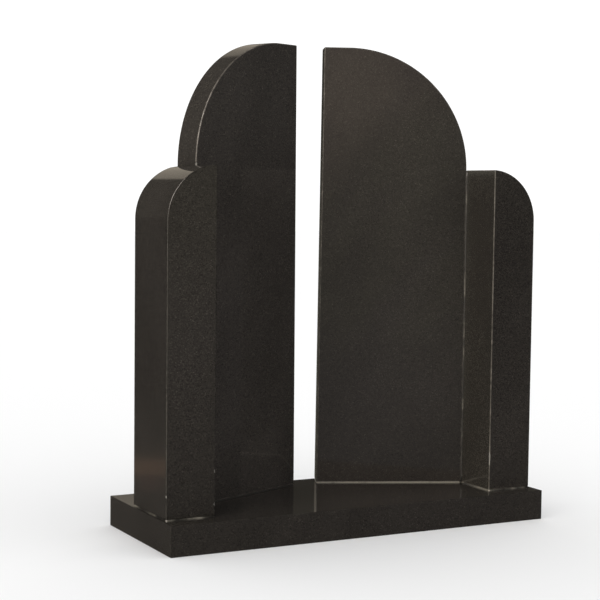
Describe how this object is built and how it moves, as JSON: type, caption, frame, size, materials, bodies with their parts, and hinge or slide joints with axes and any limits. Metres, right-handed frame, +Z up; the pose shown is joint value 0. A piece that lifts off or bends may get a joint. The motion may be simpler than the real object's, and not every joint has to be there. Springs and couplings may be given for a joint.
{
  "type": "headstone",
  "caption": "Double memorial of polished black granite: two tall round-shouldered wings set like an open book, a pillar at each end, on a plain base.",
  "frame": {"origin": "the middle of the underside of the base", "axes": "+Z up, +Y towards the back, +X to the right as seen from the front"},
  "size_m": [1.2, 0.45, 1.4],
  "materials": {
    "base_granite": "polished black granite",
    "wing_granite": "polished black granite, finely speckled",
    "pillar_granite": "polished black granite, finely speckled",
    "setting_compound": "matt pale setting compound"
  },
  "bodies": {
    "root": {"base": "base_granite", "left_wing_bed": "setting_compound", "right_wing_bed": "setting_compound", "left_pillar_bed": "setting_compound", "right_pillar_bed": "setting_compound", "left_wing": "wing_granite", "right_wing": "wing_granite", "left_pillar": "pillar_granite", "right_pillar": "pillar_granite"}
  },
  "joints": []
}
